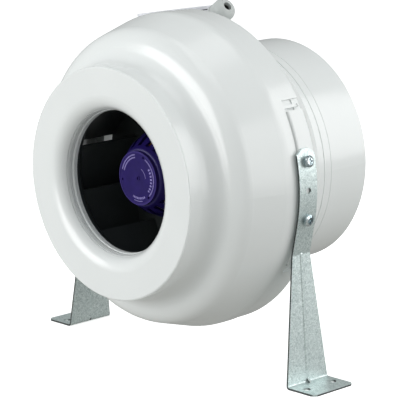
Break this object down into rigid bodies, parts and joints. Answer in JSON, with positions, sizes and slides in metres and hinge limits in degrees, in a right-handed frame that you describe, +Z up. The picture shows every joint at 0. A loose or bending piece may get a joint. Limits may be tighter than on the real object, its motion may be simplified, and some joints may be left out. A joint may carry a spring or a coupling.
{
  "type": "inline duct fan",
  "caption": "Inline duct fan: rounded plastic casing with round spigots, backward-curved impeller on an outer-rotor motor, terminal box with cable gland, sheet-steel feet.",
  "frame": {"origin": "on the floor under the fan's axis, at half the casing's length", "axes": "+Y along the airflow, from the inlet spigot to the outlet spigot; +X across, from the left foot to the right foot; +Z up"},
  "size_m": [0.423, 0.264, 0.3809],
  "materials": {
    "white_casing": "smooth moulded, slight sheen",
    "black_rubber": "matt",
    "black_impeller": "fine moulded grain",
    "spring_steel": "plain",
    "zinc_steel": "zinc plated",
    "violet_enamel": "satin dipped enamel",
    "violet_disc": null,
    "laminated_steel": "stacked laminations",
    "ground_steel": "ground",
    "copper_windings": "enamelled wire",
    "cast_aluminium": "as cast",
    "black_support": "fine moulded grain",
    "grey_lead": "round sheath",
    "white_box": "fine moulded grain",
    "cream_insulator": "smooth",
    "capacitor_case": "smooth",
    "grey_gland": "satin nylon",
    "galvanised_sheet": "spangled zinc coating",
    "brass_insert": "knurled"
  },
  "bodies": {
    "casing": {"front_shell": "white_casing", "rear_shell": "white_casing", "inlet_nozzle": "white_casing", "casing_seal": "black_rubber", "front_bearing": "ground_steel", "rear_bearing": "ground_steel", "bearing_spring": "spring_steel", "stator_core": "laminated_steel", "stator_windings": "copper_windings", "stator_flange": "cast_aluminium", "support_hub": "black_support", "guide_vanes": "black_support", "support_ring": "white_casing", "motor_screws": "zinc_steel", "support_screws": "zinc_steel", "motor_lead": "grey_lead", "lead_grommet": "black_rubber", "lead_clips": "black_support", "terminal_box": "white_box", "terminal_box_lid": "white_box", "lid_gasket": "black_rubber", "lid_screws": "zinc_steel", "box_screws": "zinc_steel", "terminal_block": "cream_insulator", "terminal_screws": "zinc_steel", "motor_capacitor": "capacitor_case", "gland_body": "grey_gland", "gland_locknut": "grey_gland", "gland_nut": "grey_gland", "gland_gasket": "black_rubber", "gland_seal": "black_rubber", "right_foot": "galvanised_sheet", "left_foot": "galvanised_sheet", "bracket_inserts": "brass_insert", "bracket_washers": "zinc_steel", "spring_washers": "spring_steel", "bracket_screws": "zinc_steel"},
    "impeller_and_rotor": {"impeller_shroud": "black_impeller", "impeller_blades": "black_impeller", "impeller_backplate": "black_impeller", "balance_clips": "spring_steel", "impeller_rivets": "zinc_steel", "rotor_can": "violet_enamel", "rotor_cap": "violet_disc", "rotor_cage": "laminated_steel", "motor_shaft": "ground_steel", "shaft_circlip": "spring_steel"}
  },
  "joints": [
    {"name": "impeller_spin", "type": "hinge", "parent": "casing", "child": "impeller_and_rotor", "pos_m": [0, 0, 0.2064], "axis": [0, 1, 0], "continuous": true}
  ]
}
